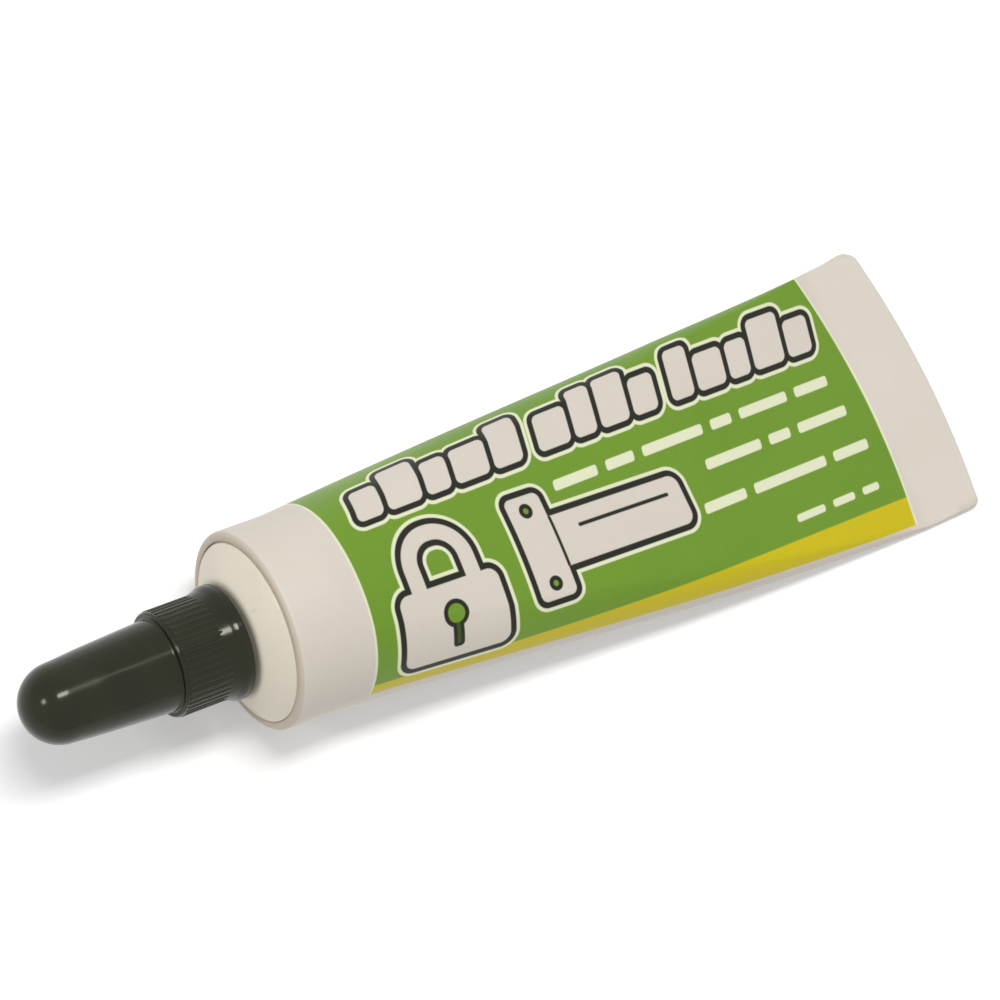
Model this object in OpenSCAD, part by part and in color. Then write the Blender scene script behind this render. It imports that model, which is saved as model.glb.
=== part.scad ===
// Small squeeze tube of powdered graphite for locks, with a screw cap.
// It lies as it would on a bench: +Z up, cap towards -X, flat sealed tail
// towards +X, printed face up. The origin is on the surface it lies on,
// under the middle of the tube. All lengths are in millimetres.

/* [Sleeve] */
// Outer diameter of the round end of the sleeve
tube_d = 16; // [12:0.5:22]
// Length of the sleeve from its rim to the corners of its tail
sleeve_len = 65.5; // [50:0.5:90]
// Thickness of the sleeve's wall
wall = 0.45; // [0.35:0.05:0.6]
// Length of the stretch behind the rim that stays round
round_len = 4.5; // [4:0.1:8]
// Length of the fused band that closes the tail
seal_len = 5; // [4:0.5:9]
// How far the middle of the tail stands out beyond its corners
tail_bulge = 1.05; // [0:0.05:1.5]
// Rounding of the tail's corner on the +Y side
far_corner_r = 1.4; // [0.5:0.1:3]
// Rounding of the tail's corner on the -Y side
near_corner_r = 0.5; // [0.3:0.1:3]
// Rounding of the rim's outer edge
rim_round = 0.35; // [0.2:0.05:0.4]

/* [Shoulder head] */
// Height of the shoulder's cone above the rim
shoulder_rise = 1.5; // [1:0.1:2.5]
// Thickness of the shoulder
shoulder_t = 1.1; // [0.8:0.1:1.6]
// Depth of the skirt that is welded inside the sleeve
plug_depth = 3; // [2:0.1:3.8]
// Thickness of that skirt
plug_wall = 0.7; // [0.5:0.1:1.2]
// Gap that stands for the weld between skirt and sleeve
weld_gap = 0.05; // [0.03:0.01:0.1]
// How far the seat under the cap reaches past the cap's mouth
seat_margin = 0.15; // [0.1:0.05:0.6]
// Outer diameter of the neck between its threads
neck_d = 5.7; // [5.4:0.1:6]
// Length of the neck above its seat
neck_len = 5.5; // [5:0.1:7]
// Diameter of the passage through the neck
neck_bore_d = 3.8; // [2.5:0.1:4]

/* [Nozzle] */
// Length of the nozzle above the neck
nozzle_len = 9.7; // [8:0.1:12]
// Outer diameter of the straight tip
tip_d = 2.3; // [2.2:0.1:2.8]
// Length of the straight tip
tip_len = 2.4; // [1.5:0.1:3]
// Diameter of the outlet
orifice_d = 1.2; // [0.8:0.1:1.4]
// Length of the outlet's straight stretch
orifice_len = 4.2; // [3:0.1:6]

/* [Thread] */
// Advance of the thread in one turn
thread_pitch = 2; // [1.8:0.1:2.4]
// Distance from each end of the neck to the middle of the thread's end
thread_margin = 1; // [0.8:0.05:1.2]
// Height of a thread above its wall
thread_depth = 0.42; // [0.3:0.02:0.45]
// Clearance between a thread's crest and the wall facing it
thread_gap = 0.28; // [0.25:0.01:0.35]
// Width of a thread at its crest
crest_w = 0.36; // [0.3:0.02:0.4]
// Width of a thread at its foot
foot_w = 0.9; // [0.7:0.05:0.95]

/* [Cap] */
// Gap between the closed cap and its seat
seat_gap = 0.45; // [0.3:0.05:0.8]
// Wall of the skirt under its grip ribs
skirt_wall = 0.56; // [0.4:0.02:0.8]
// How far the mouth's rim stands out beyond the grip ribs
mouth_flare = 0.34; // [0.1:0.02:0.6]
// How far the skirt reaches past the top of the neck
skirt_over = 0.65; // [0.5:0.05:2]
// Length of the plain band and its slope into the grip
mouth_band_len = 1.9; // [1:0.1:2.5]
// Height of the grip ribs
rib_h = 0.15; // [0.1:0.01:0.2]
// Number of grip ribs
rib_count = 48; // [24:1:60]
// Wall of the nose behind the skirt
nose_wall = 0.78; // [0.6:0.02:0.9]
// Room around the nozzle in the nose
nozzle_room = 0.35; // [0.3:0.05:0.5]
// Wall of the nose around the sealing disc
end_wall = 1.15; // [0.9:0.05:1.5]
// Thickness of the dome over the sealing disc
dome_wall = 1.6; // [1.2:0.1:2.2]

/* [Sealing disc] */
// Diameter of the soft disc that closes the outlet
disc_d = 3.8; // [3.2:0.1:4]
// Thickness of that disc
disc_t = 0.9; // [0.6:0.1:1.2]
// Clearance around the disc in its pocket
disc_gap = 0.05; // [0.03:0.01:0.1]

/* [Graphite] */
// Height of the loose powder above the bench
fill_level = 13; // [8:0.5:14]
// Clearance between the powder and what holds it
powder_gap = 0.15; // [0.1:0.01:0.3]

/* [Hidden] */

$fn = 64;
white_ldpe = [0.89, 0.86, 0.82];
moulded_white = [0.91, 0.89, 0.83];
black_pp = [0.09, 0.10, 0.08];
foam_grey = [0.70, 0.70, 0.68];
graphite_grey = [0.20, 0.20, 0.22];
join = 0.2;                // how far one shape reaches into another it is joined to
sides = 48;                // straight sides around the sleeve
flat_steps = 12;           // rings along the flattening stretch

// Sleeve
tube_r = tube_d / 2;
inner_r = tube_r - wall;
facet_sag = inner_r * (1 - cos(180 / sides));
seal_start = sleeve_len - seal_len;
flatten_len = seal_start - round_len;
lie_angle = atan((tube_r - wall) / flatten_len);
gap_end_half = 0.1;        // half height of the hollow where it meets the band
hollow_end = round_len + flatten_len * (1 - gap_end_half / (tube_r - wall));

// Head, measured along the tube's own axis, up from the rim
edge_round = 0.3;          // bevel of the shoulder's rim and of the neck's end
plug_r = inner_r - facet_sag - weld_gap;
neck_r = neck_d / 2;
neck_bore_r = neck_bore_d / 2;
neck_top = shoulder_rise + neck_len;
nozzle_base_r = neck_r - edge_round;
nozzle_top = neck_top + nozzle_len;
tip_r = tip_d / 2;
orifice_r = orifice_d / 2;

// Thread
thread_r = neck_r + thread_depth;          // outer radius of the neck's thread
cap_thread_r = neck_r + thread_gap;        // inner radius of the cap's thread
thread_start = shoulder_rise + thread_margin;
thread_turns = (neck_len - 2 * thread_margin) / thread_pitch;

// Cap
skirt_bore_r = thread_r + thread_gap;
core_r = skirt_bore_r + skirt_wall;
grip_r = core_r + rib_h;
mouth_r = grip_r + mouth_flare;
seat_r = mouth_r + seat_margin;
mouth_z = shoulder_rise + seat_gap;
skirt_top = neck_top + skirt_over;
skirt_round = 0.32;        // rounding of the skirt's front corner
mouth_round = 0.15;        // rounding of the mouth's outer edge
neck_room = 0.35;          // room above the neck inside the cap
nose_bore_r = nozzle_base_r + nozzle_room;
nose_base_r = nose_bore_r + nose_wall;
disc_r = disc_d / 2;
pocket_r = disc_r + disc_gap;
disc_z = nozzle_top + disc_gap;
pocket_top = disc_z + disc_t + disc_gap;
dome_r = pocket_r + end_wall;
dome_z = pocket_top + dome_wall - dome_r;

// The pose on the bench
box_front = (-dome_z - round_len) * cos(lie_angle) + tube_r * sin(lie_angle) - dome_r;
box_back = (flatten_len + seal_len + tail_bulge) / cos(lie_angle);
shift_x = -(box_front + box_back) / 2;

// Turns the tube from its own axis, with its rim at x = 0 and its tail
// towards +X, to the way it lies: on its flattened underside.
module lie_down() {
    translate([shift_x, 0, 0])
        rotate([0, lie_angle, 0])
            translate([-round_len, 0, tube_r])
                children();
}

// Stands a shape that is turned about +Z on the tube's axis, nose to -X.
module on_axis() {
    lie_down() rotate([0, -90, 0]) children();
}

// ---------- sleeve ----------

// How far the sleeve is flattened at x: 0 where round, 1 at the band
function flat_share(x) = min(1, max(0, (x - round_len) / flatten_len));

// Half height of the sleeve at x
function half_height(x) = tube_r - (tube_r - wall) * flat_share(x);

// Half width that keeps the way around the sleeve the same as it flattens
function half_width(b) = b + PI * (tube_r - b) / 2;

// The band lies flat on the bench, so its middle climbs along the axis
function centre_height(x) = max(0, x - seal_start) * tan(lie_angle);

// How far the section's crown is cut flat at x: 1 where it is left alone
function flatness(x) = 1 + (1 / sin(60) - 1) * pow(flat_share(x), 4);

// Draw-in of a rounded corner, c from the edge, with radius r
function corner_in(c, r) = c >= r ? 0 : r - sqrt(r * r - (r - c) * (r - c));

// One ring at x, inset by t from the outside, with the tail's shape. It is
// a circle cut in two, with its halves moved apart and joined by a crown.
function ring(x, t, far = 1, near = 1, bulge = 0) =
    let (b = half_height(x), a = half_width(b), m = flatness(x))
    [for (i = [0 : sides - 1])
        let (
            angle = 360 * i / sides,
            side = cos(angle) > 0 ? far : near,
            apart = (a - b) * max(-1, min(1, 2 * cos(angle))),
            y = (apart + (b - t) * cos(angle)) * side,
            z = (b - t) * max(-1, min(1, m * sin(angle))),
            end_x = x + bulge * (1 - pow(y / a, 2))
        )
        [end_x, y, z + centre_height(end_x)]];

// Half width left at distance c from the tail, for a corner of radius r
function tail_scale(c, r) =
    let (a = half_width(wall)) 1 - corner_in(c, r) / a;

// Triangles between two neighbouring rings that start at points p and q
function skin(p, q, flip = false) =
    [for (i = [0 : sides - 1], half = [0, 1])
        let (
            j = (i + 1) % sides,
            t = half == 0 ? [p + i, q + i, q + j] : [p + i, q + j, p + j]
        )
        flip ? [t[2], t[1], t[0]] : t];

// Triangles that close a flat ring from its upper to its lower half
function strip(p, flip = false) =
    [for (i = [0 : sides / 2 - 1], half = [0, 1])
        let (
            a = p + i,
            b = p + i + 1,
            c = p + (sides - i - 1) % sides,
            d = p + (sides - i) % sides,
            t = half == 0 ? [a, b, c] : [a, c, d]
        )
        if (t[0] != t[1] && t[1] != t[2] && t[2] != t[0])
            flip ? [t[2], t[1], t[0]] : t];

function run(rings, start, flip = false) =
    [for (k = [0 : len(rings) - 2])
        each skin(start + k * sides, start + (k + 1) * sides, flip)];

function flat_points(rings) = [for (r = rings) each r];

tail_edge = [1, 0.6, 0.25, 0.05, 0];       // shares of the far corner's radius
outer_rings = concat(
    [for (angle = [0 : 30 : 90])
        let (x = rim_round * (1 - cos(angle)))
        ring(x, corner_in(x, rim_round))],
    [for (k = [0 : flat_steps])
        ring(round_len + flatten_len * k / flat_steps, 0)],
    [for (share = tail_edge)
        let (
            c = far_corner_r * share,
            x = sleeve_len - c
        )
        ring(x, 0, tail_scale(c, far_corner_r), tail_scale(c, near_corner_r),
            tail_bulge * (x - seal_start) / seal_len)]
);
inner_rings = concat(
    [ring(0, wall)],
    [for (k = [0 : flat_steps])
        ring(round_len + (hollow_end - round_len) * k / flat_steps, wall)]
);

// Extruded sleeve, rounded at its rim and fused flat at its tail.
module tube_sleeve() {
    outer_count = len(outer_rings) * sides;
    last_outer = outer_count - sides;
    last_inner = outer_count + (len(inner_rings) - 1) * sides;
    color(white_ldpe)
        lie_down()
            polyhedron(
                points = flat_points(concat(outer_rings, inner_rings)),
                faces = concat(
                    run(outer_rings, 0),
                    run(inner_rings, outer_count, true),
                    skin(0, outer_count, true),
                    strip(last_outer, true),
                    strip(last_inner)
                ),
                convexity = 6
            );
}

// ---------- threads ----------

thread_steps = 24;         // straight pieces in one turn
thread_fade = 3;           // pieces over which a thread's end tapers
corners = 4;               // corners of a thread's section

// A helical ridge. Its foot is at foot_r and its crest at crest_r, from the
// height start, over the given turns, and its ends taper off.
module thread_ridge(foot_r, crest_r, start, turns) {
    steps = round(turns * thread_steps);
    points = [for (k = [0 : steps])
        let (
            angle = 360 * k / thread_steps,
            z = start + thread_pitch * k / thread_steps,
            full = min(1, (min(k, steps - k) + 0.2) / thread_fade),
            crest = foot_r + (crest_r - foot_r) * full,
            section = [[foot_r, -foot_w / 2], [crest, -crest_w / 2],
                [crest, crest_w / 2], [foot_r, foot_w / 2]]
        )
        each [for (p = section) [p[0] * cos(angle), p[0] * sin(angle), z + p[1]]]];
    flanks = [for (k = [0 : steps - 1], s = [0 : corners - 1], half = [0, 1])
        let (
            p = corners * k + s,
            q = corners * k + (s + 1) % corners
        )
        half == 0 ? [p, q, q + corners] : [p, q + corners, p + corners]];
    last = corners * steps;
    ends = [[3, 2, 1], [3, 1, 0], [last, last + 1, last + 2], [last, last + 2, last + 3]];
    outward = crest_r > foot_r;
    polyhedron(
        points = points,
        faces = [for (t = concat(flanks, ends)) outward ? t : [t[2], t[1], t[0]]],
        convexity = 10
    );
}

// ---------- shoulder head ----------

// One moulding: skirt, conical shoulder, threaded neck and nozzle.
module shoulder_head() {
    skirt_in_r = plug_r - plug_wall;
    tip_start = nozzle_top - tip_len;
    color(moulded_white)
        on_axis() {
            rotate_extrude()
                polygon([
                    [skirt_in_r, -plug_depth],
                    [plug_r, -plug_depth],
                    [plug_r, -edge_round],
                    [plug_r - edge_round, 0],
                    [seat_r, shoulder_rise],
                    [neck_r, shoulder_rise],
                    [neck_r, neck_top - edge_round],
                    [nozzle_base_r, neck_top],
                    [tip_r, tip_start],
                    [tip_r, nozzle_top - edge_round / 2],
                    [tip_r - edge_round / 2, nozzle_top],
                    [orifice_r, nozzle_top],
                    [orifice_r, nozzle_top - orifice_len],
                    [neck_bore_r, neck_top - shoulder_t],
                    [neck_bore_r, shoulder_rise - shoulder_t],
                    [seat_r, shoulder_rise - shoulder_t],
                    [skirt_in_r, -shoulder_t]
                ]);
            thread_ridge(neck_r - join, thread_r, thread_start, thread_turns);
        }
}

// ---------- cap ----------

module cap_outside() {
    rotate_extrude()
        polygon([
            [0, mouth_z],
            [mouth_r - mouth_round, mouth_z],
            [mouth_r, mouth_z + mouth_round],
            [mouth_r, mouth_z + mouth_band_len * 0.35],
            [core_r + rib_h, mouth_z + mouth_band_len * 0.8],
            [core_r, mouth_z + mouth_band_len],
            [core_r, skirt_top - skirt_round],
            [core_r - skirt_round * 0.3, skirt_top - skirt_round * 0.3],
            [core_r - skirt_round, skirt_top],
            [nose_base_r, skirt_top],
            [dome_r, dome_z],
            [0, dome_z]
        ]);
    translate([0, 0, dome_z]) sphere(r = dome_r);
    grip_ribs();
}

// Fine straight ribs around the skirt.
module grip_ribs() {
    rib_w = 2 * PI * grip_r / rib_count / 2;
    rib_start = mouth_z + mouth_band_len * 0.8;
    translate([0, 0, rib_start])
        linear_extrude(skirt_top - skirt_round - rib_start)
            for (i = [0 : rib_count - 1])
                rotate(360 * i / rib_count)
                    polygon([
                        [core_r - join, -rib_w / 2],
                        [core_r, -rib_w / 2],
                        [grip_r, -rib_w / 4],
                        [grip_r, rib_w / 4],
                        [core_r, rib_w / 2],
                        [core_r - join, rib_w / 2]
                    ]);
}

module cap_hollow() {
    rotate_extrude()
        polygon([
            [0, mouth_z - join],
            [skirt_bore_r, mouth_z - join],
            [skirt_bore_r, neck_top],
            [nose_bore_r, neck_top + neck_room],
            [pocket_r, disc_z],
            [pocket_r, pocket_top],
            [0, pocket_top]
        ]);
}

// One moulding: ribbed skirt with its inner thread, tapered nose and dome.
module cap() {
    color(black_pp)
        on_axis() {
            difference() {
                cap_outside();
                cap_hollow();
            }
            thread_ridge(skirt_bore_r + join, cap_thread_r,
                thread_start + thread_pitch / 2, thread_turns - 0.25);
        }
}

// Soft disc pressed into the end of the cap, which closes the outlet.
module sealing_disc() {
    color(foam_grey)
        on_axis()
            translate([0, 0, disc_z])
                cylinder(h = disc_t, r = disc_r);
}

// ---------- graphite ----------

// Highest point of the powder at x, on the tube's own axis
function powder_top(x) =
    (fill_level + (x - round_len) * sin(lie_angle)) / cos(lie_angle) - tube_r;

// Loose powder, settled level as the tube lies.
module graphite_powder() {
    inset = wall + powder_gap;
    first = plug_depth + powder_gap;
    last = round_len + flatten_len * (1 - (inset + gap_end_half - wall) / (tube_r - wall));
    stations = concat(
        [first],
        [for (k = [0 : flat_steps]) round_len + (last - round_len) * k / flat_steps]
    );
    rings = [for (x = stations)
        [for (p = ring(x, inset)) [p[0], p[1], min(p[2], powder_top(x))]]];
    color(graphite_grey)
        lie_down()
            polyhedron(
                points = flat_points(rings),
                faces = concat(
                    run(rings, 0),
                    strip(0),
                    strip((len(rings) - 1) * sides, true)
                ),
                convexity = 4
            );
}

tube_sleeve();
shoulder_head();
cap();
sealing_disc();
graphite_powder();
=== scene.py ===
from math import atan, cos, pi, radians, sin

import bmesh
import bpy
import numpy as np
from mathutils import Matrix, Vector


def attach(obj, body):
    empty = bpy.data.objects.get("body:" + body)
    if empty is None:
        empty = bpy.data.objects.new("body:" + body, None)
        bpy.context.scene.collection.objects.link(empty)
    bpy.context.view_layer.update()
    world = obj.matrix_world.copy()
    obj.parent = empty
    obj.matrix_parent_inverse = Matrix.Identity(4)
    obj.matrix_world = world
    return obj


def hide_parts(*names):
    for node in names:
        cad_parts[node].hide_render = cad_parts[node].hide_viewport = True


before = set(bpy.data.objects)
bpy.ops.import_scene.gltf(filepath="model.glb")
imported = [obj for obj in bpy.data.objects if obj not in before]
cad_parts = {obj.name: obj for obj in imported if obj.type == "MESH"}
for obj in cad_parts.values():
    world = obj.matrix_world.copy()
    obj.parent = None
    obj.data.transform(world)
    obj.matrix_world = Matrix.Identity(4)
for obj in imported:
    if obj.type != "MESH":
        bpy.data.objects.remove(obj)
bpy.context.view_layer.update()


# ---------- tube sleeve ----------
# A white low-density polyethylene tube, extruded round, printed on its face,
# then filled and welded flat at the tail.  Its girth never changes, so it grows
# wider as it grows flatter.  The round end is welded to the shoulder.

tube_r, wall = 8.0, 0.45            # mm, as is every size in this file
round_len, sleeve_len, seal_len = 4.5, 65.5, 5.0
tail_bulge = 1.0                    # the tail's middle stands out past its corners
far_corner, near_corner = 1.25, 0.4
rim_round, lip_round, tail_round = 0.42, 0.11, 0.12
lip = 0.74                          # depth of the lip rolled over the shoulder's edge
# the soft tube lies a little crooked, so each side has its own small shift in Y
rim_sway, middle_sway, s_sway, belly = 0.05, -0.14, 0.1, 0.008
near_draw, near_start, near_power = 0.6, 36.0, 1.3      # the -Y side, towards the tail
far_draw, far_start, far_stretch = -0.2, 44.0, 12.0     # the +Y side
far_flare, flare_start, tail_skew = 0.72, 59.0, -0.2
seal_start = sleeve_len - seal_len
flatten_len = seal_start - round_len
lie_angle = atan((tube_r - wall) / flatten_len)
box_shift = -20.03295               # puts the middle of the box over the origin

mm = Matrix.Scale(0.001, 4)
# from the tube's own axis in mm to the lying tube in metres
lay = (mm @ Matrix.Translation((box_shift, 0, 0))
       @ Matrix.Rotation(lie_angle, 4, "Y")
       @ Matrix.Translation((-round_len, 0, tube_r)))


def hex_colour(text):
    """An sRGB hex colour as the linear RGBA that sockets take."""
    parts = [int(text[i:i + 2], 16) / 255 for i in (1, 3, 5)]
    return [c / 12.92 if c <= 0.04045 else ((c + 0.055) / 1.055) ** 2.4 for c in parts] + [1]


def add(tree, kind, settings=None, inputs=None):
    """Adds a node.  Each input is a value, or the output socket that feeds it."""
    node = tree.nodes.new(kind)
    for name, value in (settings or {}).items():
        setattr(node, name, value)
    for name, value in (inputs or {}).items():
        if isinstance(value, bpy.types.NodeSocket):
            tree.links.new(value, node.inputs[name])
        else:
            node.inputs[name].default_value = value
    return node


def arc(centre, radius, start, end, steps):
    """Points on an arc in degrees, ends included."""
    angles = np.radians(np.linspace(start, end, steps + 1))
    return [(centre[0] + radius * cos(a), centre[1] + radius * sin(a)) for a in angles]


def finish_mesh(mesh, place, sharp_angle):
    """Closes seams, turns faces outwards, puts the mesh in its place, shades it."""
    work = bmesh.new()
    work.from_mesh(mesh)
    bmesh.ops.remove_doubles(work, verts=work.verts, dist=0.0005)
    bmesh.ops.dissolve_degenerate(work, edges=work.edges, dist=0.0001)
    bmesh.ops.recalc_face_normals(work, faces=work.faces)
    work.to_mesh(mesh)
    work.free()
    mesh.transform(place)
    mesh.polygons.foreach_set("use_smooth", [True] * len(mesh.polygons))
    mesh.set_sharp_from_angle(angle=radians(sharp_angle))


def piece(name, mesh, material):
    """A finished piece at the origin, unturned and unscaled."""
    mesh.materials.clear()
    mesh.materials.append(material)
    made = bpy.data.objects.new(name, mesh)
    bpy.context.scene.collection.objects.link(made)
    return made


# the wall cut lengthways: (distance from the rim, depth below the outer face)
wall_cut = (
    [(x, wall) for x in np.linspace(seal_start, 0.7, 62)] + [(0.42, wall + 0.06)]
    + arc((lip_round, lip - lip_round), lip_round, 50, 180, 6)
    + arc((rim_round, rim_round), rim_round, 180, 270, 7)
    + [(x, 0.0) for x in np.linspace(rim_round + 0.15, sleeve_len - tail_round - 0.1, 132)]
    + arc((sleeve_len - tail_round, tail_round), tail_round, 270, 360, 4)
    + [(sleeve_len, wall * 0.6), (sleeve_len, wall)]
)
cut_mesh = bpy.data.meshes.new("wall_cut")
cut_mesh.from_pydata([(x, t, 0) for x, t in wall_cut],
                     [(i, i + 1) for i in range(len(wall_cut) - 1)], [])
cut_object = bpy.data.objects.new("wall_cut", cut_mesh)
bpy.context.scene.collection.objects.link(cut_object)

# the tree carries the cut round the tube, by the rule that keeps the girth
tree = bpy.data.node_groups.new("flattened tube", "GeometryNodeTree")
tree.interface.new_socket("Wall cut", in_out="INPUT", socket_type="NodeSocketGeometry")
sleeve_sizes = {
    "Tube radius": tube_r, "Wall": wall, "Round length": round_len,
    "Flattened length": flatten_len, "Seal length": seal_len, "Tail bulge": tail_bulge,
    "Far corner": far_corner, "Near corner": near_corner, "Rim sway": rim_sway,
    "Middle sway": middle_sway, "S sway": s_sway, "Belly": belly,
    "Near draw": near_draw, "Near start": near_start, "Near power": near_power,
    "Far draw": far_draw, "Far start": far_start, "Far stretch": far_stretch,
    "Far flare": far_flare, "Flare start": flare_start,
    "Tail skew": tail_skew, "Steps around": 192,
}
sockets = {}
for name, value in sleeve_sizes.items():
    kind = "NodeSocketInt" if isinstance(value, int) else "NodeSocketFloat"
    sockets[name] = tree.interface.new_socket(name, in_out="INPUT", socket_type=kind)
sockets["Surface"] = tree.interface.new_socket(
    "Surface", in_out="INPUT", socket_type="NodeSocketMaterial")
tree.interface.new_socket("Sleeve", in_out="OUTPUT", socket_type="NodeSocketGeometry")

given = add(tree, "NodeGroupInput").outputs
count = add(tree, "GeometryNodeAttributeDomainSize", {}, {0: given["Wall cut"]})
place = add(tree, "ShaderNodeSeparateXYZ", {},
            {0: add(tree, "GeometryNodeInputPosition").outputs[0]}).outputs
v = {name: given[name] for name in sleeve_sizes}
v.update(points=count.outputs[0], across=place[0], around=place[1])
for name, operation, *terms in (
    ("grid length", "SUBTRACT", "points", 1),
    ("columns", "ADD", "Steps around", 1),
    ("half length", "MULTIPLY", "grid length", 0.5),
    ("shifted", "ADD", "across", "half length"),
    ("cut index", "ROUND", "shifted"),
    ("whole turns", "ADD", "around", 0.25),      # the seam lies under the tube
    ("turn", "MULTIPLY", "whole turns", 2 * pi),
):
    v[name] = add(tree, "ShaderNodeMath", {"operation": operation},
                  {i: v.get(term, term) for i, term in enumerate(terms)}).outputs[0]
grid = add(tree, "GeometryNodeMeshGrid", {}, {
    "Size X": v["grid length"], "Size Y": 1.0,
    "Vertices X": v["points"], "Vertices Y": v["columns"]})
cut_place = add(tree, "GeometryNodeSampleIndex", {"data_type": "FLOAT_VECTOR"}, {
    "Geometry": given["Wall cut"], "Index": v["cut index"],
    "Value": add(tree, "GeometryNodeInputPosition").outputs[0]})
cut = add(tree, "ShaderNodeSeparateXYZ", {}, {0: cut_place.outputs[0]}).outputs
v.update(along=cut[0], inset=cut[1])
for name, operation, *terms in (
    # how far flattened, and the half height and half width there
    ("seal start", "ADD", "Round length", "Flattened length"),
    ("tube length", "ADD", "seal start", "Seal length"),
    ("past round", "SUBTRACT", "along", "Round length"),
    ("raw share", "DIVIDE", "past round", "Flattened length"),
    ("over zero", "MAXIMUM", "raw share", 0),
    ("share", "MINIMUM", "over zero", 1),
    ("to lose", "SUBTRACT", "Tube radius", "Wall"),
    ("lost", "MULTIPLY", "to lose", "share"),
    ("half height", "SUBTRACT", "Tube radius", "lost"),
    ("flat half", "MULTIPLY", "lost", pi / 2),
    ("half width", "ADD", "half height", "flat half"),
    # one point of the section
    ("cosine", "COSINE", "turn"),
    ("sine", "SINE", "turn"),
    ("twice", "MULTIPLY", "cosine", 2),
    ("not under", "MAXIMUM", "twice", -1),
    ("on flat", "MINIMUM", "not under", 1),
    ("share fourth", "POWER", "share", 4),
    ("squareness", "MULTIPLY_ADD", "share fourth", 1 / sin(pi / 3) - 1, 1),
    ("squared sine", "MULTIPLY", "squareness", "sine"),
    ("above floor", "MAXIMUM", "squared sine", -1),
    ("level", "MINIMUM", "above floor", 1),
    ("skin half", "SUBTRACT", "half height", "inset"),
    ("height", "MULTIPLY", "skin half", "level"),
    ("flat part", "MULTIPLY", "flat half", "on flat"),
    ("side", "MULTIPLY_ADD", "skin half", "cosine", "flat part"),
    # rounded corners of the tail
    ("far side", "GREATER_THAN", "cosine", 0),
    ("corner gap", "SUBTRACT", "Far corner", "Near corner"),
    ("corner", "MULTIPLY_ADD", "corner gap", "far side", "Near corner"),
    ("from tail", "SUBTRACT", "tube length", "along"),
    ("in corner", "SUBTRACT", "corner", "from tail"),
    ("corner reach", "MAXIMUM", "in corner", 0),
    ("reach squared", "MULTIPLY", "corner reach", "corner reach"),
    ("corner squared", "MULTIPLY", "corner", "corner"),
    ("rest squared", "SUBTRACT", "corner squared", "reach squared"),
    ("rest", "SQRT", "rest squared"),
    ("drawn in", "SUBTRACT", "corner", "rest"),
    ("drawn share", "DIVIDE", "drawn in", "half width"),
    ("kept share", "SUBTRACT", 1, "drawn share"),
    ("y", "MULTIPLY", "side", "kept share"),
    # the tail's bow, and its band bent down flat on the table
    ("past seal", "SUBTRACT", "along", "seal start"),
    ("seal raw", "DIVIDE", "past seal", "Seal length"),
    ("seal share", "MAXIMUM", "seal raw", 0),
    ("across share", "DIVIDE", "y", "half width"),
    ("across squared", "MULTIPLY", "across share", "across share"),
    ("middle share", "SUBTRACT", 1, "across squared"),
    ("bow", "MULTIPLY", "Tail bulge", "seal share"),
    ("x", "MULTIPLY_ADD", "bow", "middle share", "along"),
    ("bent raw", "SUBTRACT", "x", "seal start"),
    ("bent", "MAXIMUM", "bent raw", 0),
    ("slope", "DIVIDE", "to lose", "Flattened length"),
    ("z", "MULTIPLY_ADD", "bent", "slope", "height"),
    # not quite straight: soft bends and a belly, then each side's own shift
    # towards the tail, and the tail turned a little
    ("share left", "SUBTRACT", 1, "share"),
    ("half wave", "MULTIPLY", "share", pi),
    ("full wave", "MULTIPLY", "share", 2 * pi),
    ("half sine", "SINE", "half wave"),
    ("full sine", "SINE", "full wave"),
    ("rim bend", "MULTIPLY", "share left", "Rim sway"),
    ("bend", "MULTIPLY_ADD", "half sine", "Middle sway", "rim bend"),
    ("double bend", "MULTIPLY_ADD", "full sine", "S sway", "bend"),
    ("widened", "MULTIPLY_ADD", "half sine", "Belly", 1),
    ("near reach", "SUBTRACT", "along", "Near start"),
    ("near over", "MAXIMUM", "near reach", 0),
    ("near length", "SUBTRACT", "tube length", "Near start"),
    ("near share", "DIVIDE", "near over", "near length"),
    ("near curve", "POWER", "near share", "Near power"),
    ("near shift", "MULTIPLY", "near curve", "Near draw"),
    ("far reach", "SUBTRACT", "along", "Far start"),
    ("far over", "MAXIMUM", "far reach", 0),
    ("far part", "DIVIDE", "far over", "Far stretch"),
    ("far share", "MINIMUM", "far part", 1),
    ("far shift", "MULTIPLY", "far share", "Far draw"),
    ("flare reach", "SUBTRACT", "along", "Flare start"),
    ("flare over", "MAXIMUM", "flare reach", 0),
    ("flare length", "SUBTRACT", "tube length", "Flare start"),
    ("flare share", "DIVIDE", "flare over", "flare length"),
    ("flare squared", "MULTIPLY", "flare share", "flare share"),
    ("flared", "MULTIPLY_ADD", "flare squared", "Far flare", "far shift"),
    ("farness", "MULTIPLY_ADD", "cosine", 0.5, 0.5),
    ("shift gap", "SUBTRACT", "flared", "near shift"),
    ("tail shift", "MULTIPLY_ADD", "shift gap", "farness", "near shift"),
    ("sway", "ADD", "double bend", "tail shift"),
    ("swayed y", "MULTIPLY_ADD", "y", "widened", "sway"),
    ("turned tail", "MULTIPLY", "seal share", "Tail skew"),
    ("skewed x", "MULTIPLY_ADD", "turned tail", "across share", "x"),
    # where the print goes: mm down the face from its top line
    ("from top", "SUBTRACT", pi / 2, "turn"),
    ("round part", "MULTIPLY_ADD", "half height", "from top", "flat part"),
    ("swayed round", "ADD", "round part", "sway"),
    ("down the face", "MULTIPLY", "swayed round", -1),
    ("inside", "MULTIPLY", "inset", -10),
    ("printed side", "ADD", "sine", "inside"),
):
    v[name] = add(tree, "ShaderNodeMath", {"operation": operation},
                  {i: v.get(term, term) for i, term in enumerate(terms)}).outputs[0]
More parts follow.
